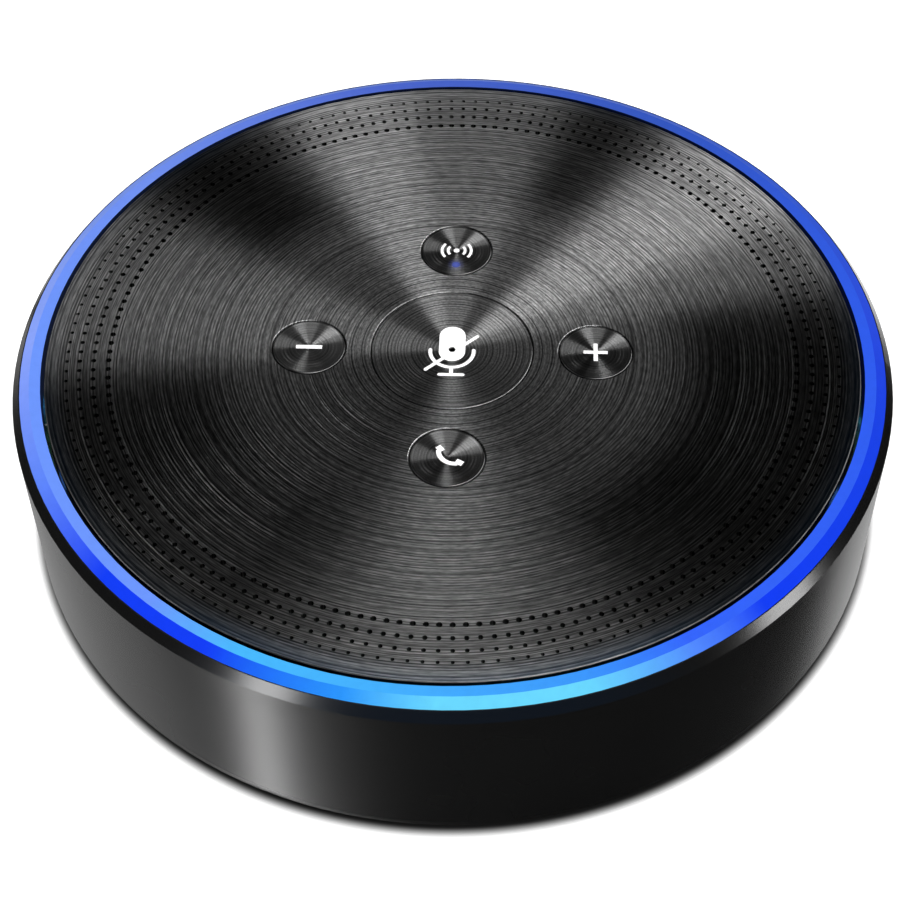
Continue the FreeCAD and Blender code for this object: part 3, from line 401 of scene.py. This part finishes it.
def glowing_ring():
    """Translucent ring lit from below; the colour drifts round the ring and by facet as painted
    shading.
    """
    made, tree, shader = new_material("ring_glow")
    position = object_position(tree)
    parts = node(tree, "SeparateXYZ", {0: position}).outputs
    angle = calc(tree, "ARCTAN2", parts[1], parts[0])
    turn = calc(tree, "ADD", calc(tree, "DIVIDE", angle, 2 * math.pi), 0.5)
    pale, sky, cyan = (0.15, 0.3, 0.95), (0.06, 0.48, 0.95), (0.14, 0.68, 0.96)
    royal, deep, dusk = (0.03, 0.12, 0.93), (0.002, 0.038, 0.88), (0.035, 0.09, 0.4)
    # Painted shading: the colour that drifts round the ring and differs between level and slanted
    # facets.
    flat = ramp(tree, turn, [
        (0.0, pale), (0.14, pale), (0.18, sky), (0.25, (0.05, 0.4, 0.95)), (0.3, (0.04, 0.3, 0.93)),
        (0.34, royal), (0.5, (0.024, 0.098, 0.82)), (0.66, (0.03, 0.085, 0.48)),
        (0.78, (0.065, 0.12, 0.55)), (0.9, (0.16, 0.27, 0.83)), (1.0, pale),
    ])
    slope = ramp(tree, turn, [
        (0.0, (0.25, 0.36, 0.92)), (0.07, (0.11, 0.23, 0.92)), (0.12, deep), (0.17, deep),
        (0.22, (0.02, 0.3, 0.94)), (0.25, cyan), (0.3, cyan), (0.34, (0.08, 0.24, 0.94)),
        (0.37, deep), (0.5, (0.006, 0.045, 0.7)), (0.6, (0.03, 0.09, 0.55)),
        (0.7, dusk), (0.8, (0.1, 0.17, 0.5)), (0.92, (0.17, 0.27, 0.72)), (1.0, (0.25, 0.36, 0.92)),
    ])
    up = facing_up(tree)
    colour = mix(tree, calc(tree, "GREATER_THAN", up, LEVEL), slope, flat)
    bright = between(tree, up, 0.02, 1.0, 0.1, 0.4)
    haze = noise(tree, position, 900, 2)
    strength = calc(tree, "MULTIPLY", bright, between(tree, haze, 0.94, 1.06))
    set_inputs(shader, Base_Color=(0.005, 0.01, 0.04), Emission_Color=colour,
               Emission_Strength=strength, Roughness=0.35, Specular_IOR_Level=0.02)
    return made


def white_inlay():
    """Matt white inlay of the key legends, very slightly uneven, with a painted glow."""
    made, tree, shader = new_material("legend_white")
    cloud = noise(tree, object_position(tree), 1500, 1)
    colour = mix(tree, cloud, grey(0.9), grey(0.96))
    # Painted glow: the inlay emits its own colour to stay bright.
    set_inputs(shader, Base_Color=colour, Roughness=0.45, Emission_Color=colour,
               Emission_Strength=0.35)
    return made


def status_lens():
    """Blue light pipe: brightest in the middle."""
    made, tree, shader = new_material("lens_blue")
    radius = level_offset(tree, centre_of("pairing_lens"))[1]
    colour = ramp(tree, between(tree, radius, 0, 1, 0, LENS_RADIUS), [
        (0.0, (0.07, 0.1, 0.42)), (0.6, (0.04, 0.06, 0.28)), (1.0, (0.02, 0.035, 0.2)),
    ])
    set_inputs(shader, Base_Color=(0.005, 0.01, 0.05), Emission_Color=colour,
               Emission_Strength=1.0, Roughness=0.4)
    return made


# ---------------------------------------------------------------- plainer materials

def moulded(name, colour, roughness, grain=2500, depth=0.3, shine=0.4):
    """Moulded plastic or rubber: fine spark-eroded grain, slightly uneven tone and gloss."""
    made, tree, shader = new_material(name)
    position = object_position(tree)
    cloud = noise(tree, position, 120, 3)
    set_inputs(shader, Base_Color=mix(tree, cloud, scaled(colour, 0.9), scaled(colour, 1.1)),
               Roughness=between(tree, cloud, roughness - 0.06, roughness + 0.06, 0.3, 0.7),
               Specular_IOR_Level=shine, Normal=bump(tree, noise(tree, position, grain, 3),
                                                     0.00002, depth))
    return made


def machined(name, colour, roughness):
    """Bare or plated metal with fine drawn streaks and patches of tarnish."""
    made, tree, shader = new_material(name)
    position = object_position(tree)
    stretched = vector(tree, "MULTIPLY", position, (300, 300, 6000)).outputs[0]
    drawn = noise(tree, stretched, 1.0, 3)
    tarnish = noise(tree, position, 350, 3)
    set_inputs(shader, Base_Color=mix(tree, tarnish, scaled(colour, 0.75), colour),
               Metallic=1.0, Roughness=between(tree, drawn, roughness - 0.1, roughness + 0.1),
               Normal=bump(tree, drawn, 0.000005, 0.3))
    return made


def woven(name, colour, pitch):
    """Plain weave: two sets of threads that cross."""
    made, tree, shader = new_material(name)
    parts = node(tree, "SeparateXYZ", {0: object_position(tree)}).outputs
    waves = []
    for axis in (0, 1):
        phase = calc(tree, "MULTIPLY", parts[axis], 2 * math.pi / pitch)
        waves.append(calc(tree, "SINE", phase))
    weave = calc(tree, "MULTIPLY", waves[0], waves[1])
    height = between(tree, weave, 0, 1, -1, 1)
    # Painted shade where the threads dip and painted highlight where they rise.
    set_inputs(shader, Base_Color=mix(tree, height, scaled(colour, 0.4), scaled(colour, 1.4)),
               Roughness=0.85, Normal=bump(tree, height, pitch * 0.2, 0.8))
    return made


def circuit_board():
    """Green solder mask over copper tracks, with tinned pads."""
    made, tree, shader = new_material("board_green")
    position = object_position(tree)
    parts = node(tree, "SeparateXYZ", {0: position}).outputs
    cells = node(tree, "TexVoronoi", {"Vector": position, "Scale": 420}, distance="MANHATTAN")
    track = between(tree, cells.outputs["Distance"], 0, 1, 0.42, 0.5)
    dots = node(tree, "TexVoronoi", {"Vector": position, "Scale": 650, "Randomness": 0.7})
    pad = between(tree, dots.outputs["Distance"], 1, 0, 0.12, 0.16)
    top_face = calc(tree, "GREATER_THAN", calc(tree, "ABSOLUTE", facing_up(tree)), 0.9)
    pad = calc(tree, "MULTIPLY", pad, top_face)
    mask = mix(tree, track, (0.008, 0.06, 0.03), (0.02, 0.14, 0.07))
    colour = mix(tree, pad, mask, (0.6, 0.58, 0.52))
    ripple = noise(tree, position, 900, 2)
    height = calc(tree, "ADD", track, calc(tree, "MULTIPLY", ripple, 0.2))
    set_inputs(shader, Base_Color=colour, Metallic=pad,
               Roughness=between(tree, parts[2], 0.3, 0.4, 0, TOP),
               Normal=bump(tree, height, 0.00003, 0.5))
    return made


def foil_pouch():
    """Aluminium laminate of the battery: soft wrinkles and a hazy shine."""
    made, tree, shader = new_material("pouch_foil")
    position = object_position(tree)
    wrinkle = noise(tree, position, 140, 5, 0.65)
    haze = noise(tree, position, 600, 2)
    set_inputs(shader, Base_Color=mix(tree, haze, (0.5, 0.52, 0.55), (0.66, 0.68, 0.7)),
               Metallic=0.9, Roughness=between(tree, haze, 0.32, 0.48),
               Normal=bump(tree, wrinkle, 0.0002, 0.6))
    return made


def wound_copper():
    """Voice coil: fine enamelled turns stacked along Z."""
    made, tree, shader = new_material("coil_copper")
    parts = node(tree, "SeparateXYZ", {0: object_position(tree)}).outputs
    turns = calc(tree, "SINE", calc(tree, "MULTIPLY", parts[2], 2 * math.pi / (0.18 * MM)))
    height = between(tree, turns, 0, 1, -1, 1)
    # Painted shade between the turns and painted highlight on their crowns.
    set_inputs(shader, Base_Color=mix(tree, height, (0.25, 0.07, 0.02), (0.75, 0.3, 0.12)),
               Metallic=1.0, Roughness=0.35, Normal=bump(tree, height, 0.00005, 0.8))
    return made


def ribbed_paper():
    """Speaker cone: pressed pulp with fine fibres."""
    made, tree, shader = new_material("cone_pulp")
    position = object_position(tree)
    fibre = noise(tree, position, 1800, 5, 0.7)
    set_inputs(shader, Base_Color=mix(tree, fibre, grey(0.012), grey(0.06)), Roughness=0.9,
               Normal=bump(tree, fibre, 0.00006, 0.6))
    return made


def light_emitter():
    """Clear resin of the lights, lit blue."""
    made, tree, shader = new_material("emitter_blue")
    spot = noise(tree, object_position(tree), 1200, 1)
    set_inputs(shader, Base_Color=(0.8, 0.8, 0.7), Roughness=0.25,
               Emission_Color=mix(tree, spot, (0.05, 0.2, 1.0), (0.15, 0.4, 1.0)),
               Emission_Strength=3.0)
    return made


# ---------------------------------------------------------------- finish of each node

def make_finishes():
    """The material of each material slot of the record."""
    return {
        "legend_white": white_inlay(),
        "status_lens": status_lens(),
        "housing_plastic": black_wall(),
        "light_ring_blue": glowing_ring(),
        "base_plastic": moulded("base_black", grey(0.012), 0.6, 1800, 0.6),
        "foot_rubber": moulded("rubber_black", grey(0.02), 0.82, 2600, 0.7, 0.25),
        "screw_steel": machined("screw_black_zinc", grey(0.12), 0.42),
        "frame_plastic": moulded("frame_black", grey(0.02), 0.5),
        "acoustic_cloth": woven("mesh_cloth", grey(0.02), 0.25 * MM),
        "adhesive_film": moulded("film_grey", grey(0.08), 0.7, 900, 0.2),
        "circuit_board": circuit_board(),
        "switch_housing": moulded("switch_black", grey(0.03), 0.45, 3000, 0.2),
        "plunger_plastic": moulded("plunger_ivory", (0.7, 0.69, 0.62), 0.4, 3000, 0.15),
        "light_emitter": light_emitter(),
        "tin_plate": machined("plated_tin", (0.62, 0.62, 0.6), 0.3),
        "chip_package": moulded("package_epoxy", grey(0.025), 0.55, 5000, 0.5),
        "battery_pouch": foil_pouch(),
        "wire_jacket": moulded("wire_red", (0.4, 0.02, 0.02), 0.4, 900, 0.2),
        "flex_film": moulded("film_amber", (0.5, 0.24, 0.03), 0.35, 700, 0.2, 0.5),
        "speaker_steel": machined("coated_steel", grey(0.06), 0.5),
        "ferrite": moulded("ferrite_grey", grey(0.05), 0.7, 1500, 0.9),
        "cone_paper": ribbed_paper(),
        "coil_copper": wound_copper(),
    }


def assign(name, material):
    slots = frame["nodes"][name].data.materials
    slots.clear()
    slots.append(material)


def finish_nodes():
    """Give every CAD node its material; the plate and each key are spun about their axes."""
    finishes = make_finishes()
    for part in frame["record"]["subparts"]:
        if part["material_slot"] in finishes:
            assign(part["node"], finishes[part["material_slot"]])
    assign("top_plate", spun_metal("plate_metal", (0, 0, 0), PLATE_LOOK, ring_spill))
    glows = {"pairing": lens_halo}
    for key, look in KEY_LOOKS.items():
        centre = centre_of(f"{key}_key")
        assign(f"{key}_key", spun_metal(f"{key}_metal", centre, look, glows.get(key)))


# ---------------------------------------------------------------- small details

def gold_plating():
    """Gold flash over nickel, with faint brush marks and rubbed patches."""
    made, tree, shader = new_material("contact_gold")
    position = object_position(tree)
    rubbed = noise(tree, position, 2500, 3)
    set_inputs(shader, Base_Color=mix(tree, rubbed, (0.75, 0.5, 0.16), (0.95, 0.7, 0.3)),
               Metallic=1.0, Roughness=between(tree, rubbed, 0.18, 0.34),
               Normal=bump(tree, noise(tree, position, 9000, 2), 0.000002, 0.3))
    return made


def add_strip(build, centre, size):
    """A contact strip with rounded edges."""
    place = Matrix.Translation(centre) @ Matrix.Diagonal((*size, 1))
    corners = bmesh.ops.create_cube(build, size=1.0, matrix=place)["verts"]
    edges = {edge for corner in corners for edge in corner.link_edges}
    bmesh.ops.bevel(build, geom=list(edges), offset=0.02 * MM, segments=2, affect="EDGES")


def make_contacts(gold):
    """Twelve contact strips on each face of the USB-C tongue."""
    low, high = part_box("usb_socket_tongue")
    centre = (low + high) / 2
    count, pitch = 12, 0.5 * MM
    length, width, proud = (high.y - low.y) * 0.6, 0.26 * MM, 0.04 * MM
    build = bmesh.new()
    for index in range(count):
        across = centre.x + (index - (count - 1) / 2) * pitch
        for side in (low.z, high.z):
            add_strip(build, Vector((across, high.y - length * 0.7, side)),
                      (width, length, 2 * proud))
    mesh = bpy.data.meshes.new("usb_contacts")
    build.to_mesh(mesh)
    build.free()
    mesh.materials.append(gold)
    contacts = add_object("usb_contacts", mesh)
    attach(contacts, "housing")


# ---------------------------------------------------------------- light and camera

def stage_material(name, near_glow, far_glow):
    """Matt white that glows a little, more so far away, with a painted contact shadow under the
    object.
    """
    made, tree, shader = new_material(name)
    position = object_position(tree)
    cloud = noise(tree, position, 3.0, 2)
    colour = mix(tree, cloud, grey(0.93), grey(0.95))
    distance = vector(tree, "LENGTH", position).outputs["Value"]
    glow = between(tree, distance, near_glow, far_glow, GLOW_START, GLOW_END, smooth=True)
    # Painted contact shadow: dark and without glow inside the rim's radius, fading out over two
    # millimetres.
    clear = between(tree, distance, 0, 1, RIM_RADIUS - MM, RIM_RADIUS + MM, smooth=True)
    glow = calc(tree, "MULTIPLY", glow, clear)
    colour = mix(tree, clear, grey(0.05), colour)
    set_inputs(shader, Base_Color=colour, Roughness=0.9, Specular_IOR_Level=0.0,
               Emission_Color=colour, Emission_Strength=glow)
    return made


def see_through_from_below(material):
    """Leave the floor out when it is seen from its underside."""
    tree = material.node_tree
    shader = tree.nodes["Principled BSDF"]
    clear = node(tree, "BsdfTransparent").outputs[0]
    behind = node(tree, "NewGeometry").outputs["Backfacing"]
    blend = node(tree, "MixShader", {0: behind, 1: shader.outputs[0], 2: clear}).outputs[0]
    tree.links.new(blend, tree.nodes["Material Output"].inputs["Surface"])


def add_stage(name, mesh, material):
    """A backdrop surface: the camera sees it, and the object doesn't mirror it."""
    mesh.materials.append(material)
    holder = add_object(name, mesh)
    holder.visible_glossy = False
    holder.visible_shadow = False
    return holder


def stage_mesh(name, create, **divisions):
    build = bmesh.new()
    create(build, radius=STAGE_REACH, **divisions)
    mesh = bpy.data.meshes.new(name)
    build.to_mesh(mesh)
    build.free()
    return mesh


def make_stage():
    """A pale round floor inside a pale dome."""
    floor = stage_mesh("floor", bmesh.ops.create_circle, cap_ends=True, segments=96)
    floor_white = stage_material("floor_white", FLOOR_GLOW, FAR_GLOW)
    see_through_from_below(floor_white)
    add_stage("floor", floor, floor_white)
    dome = stage_mesh("dome", bmesh.ops.create_uvsphere, u_segments=96, v_segments=24)
    backdrop = add_stage("dome", dome, stage_material("dome_white", FAR_GLOW, FAR_GLOW))
    backdrop.visible_diffuse = False


def softbox(name, azimuth, elevation, half_width, half_height, radiance):
    """A rectangular lamp, placed and sized by angle as seen from the middle of the plate."""
    lamp = bpy.data.lights.new(name, "AREA")
    lamp.shape = "RECTANGLE"
    lamp.size = 2 * LAMP_DISTANCE * math.tan(math.radians(half_width))
    lamp.size_y = 2 * LAMP_DISTANCE * math.tan(math.radians(half_height))
    lamp.energy = radiance * math.pi * lamp.size * lamp.size_y
    holder = add_object(name, lamp)
    direction = direction_at(azimuth, elevation)
    holder.location = Vector((0, 0, TOP)) + direction * LAMP_DISTANCE
    holder.rotation_euler = direction.to_track_quat("Z", "Y").to_euler()
    holder.visible_camera = False
    return holder


def linked_set(name, members, state):
    """A collection that lets a lamp light only these objects, or all but them."""
    chosen = bpy.data.collections.new(name)
    for member in members:
        chosen.objects.link(member)
    for entry in chosen.collection_objects:
        entry.light_linking.link_state = state
    return chosen


def add_lamps(lamps, pieces, gain=1.0):
    """Softboxes that light only the pieces of a linked set."""
    for name, (azimuth, elevation, half_width, half_height, radiance) in lamps.items():
        lamp = softbox(name, azimuth, elevation, half_width, half_height, radiance * gain)
        lamp.light_linking.receiver_collection = pieces


def make_lights():
    """Some lamps light only the spun metal, some all but it and some only the other nodes."""
    spun = [frame["nodes"][name] for name in ["top_plate"] + [f"{key}_key" for key in KEY_LOOKS]]
    metal_only = linked_set("metal_only", spun, "INCLUDE")
    all_but_metal = linked_set("all_but_metal", spun, "EXCLUDE")
    shell = [made for made in frame["nodes"].values() if made not in spun]
    shell_only = linked_set("shell_only", shell, "INCLUDE")
    add_lamps(METAL_LAMPS, metal_only, 1 / METAL_SHADE)
    add_lamps(HOUSING_LAMPS, all_but_metal)
    add_lamps(REAR_LAMPS, shell_only)


def make_world():
    world = bpy.data.worlds.new("studio")
    world.use_nodes = True
    background = world.node_tree.nodes["Background"]
    background.inputs["Color"].default_value = (1, 1, 1, 1)
    background.inputs["Strength"].default_value = 0.006
    bpy.context.scene.world = world


def make_camera():
    """The camera stands on the user's side, a little to the right, and looks down."""
    camera = bpy.data.cameras.new("camera")
    camera.lens = FOCAL_LENGTH
    camera.sensor_width = SENSOR_WIDTH
    camera.clip_start = 0.01
    holder = add_object("camera", camera)
    direction = direction_at(CAMERA_AZIMUTH, CAMERA_ELEVATION)
    holder.location = Vector((0, 0, TOP)) + direction * CAMERA_DISTANCE
    look = (CAMERA_AIM - holder.location).to_track_quat("-Z", "Y").to_matrix()
    holder.rotation_euler = (look @ Matrix.Rotation(-math.radians(CAMERA_ROLL), 3, "Z")).to_euler()
    bpy.context.scene.camera = holder


finish_nodes()
make_contacts(gold_plating())
make_stage()
make_world()
make_lights()
make_camera()
bpy.context.scene.view_settings.view_transform = "Standard"
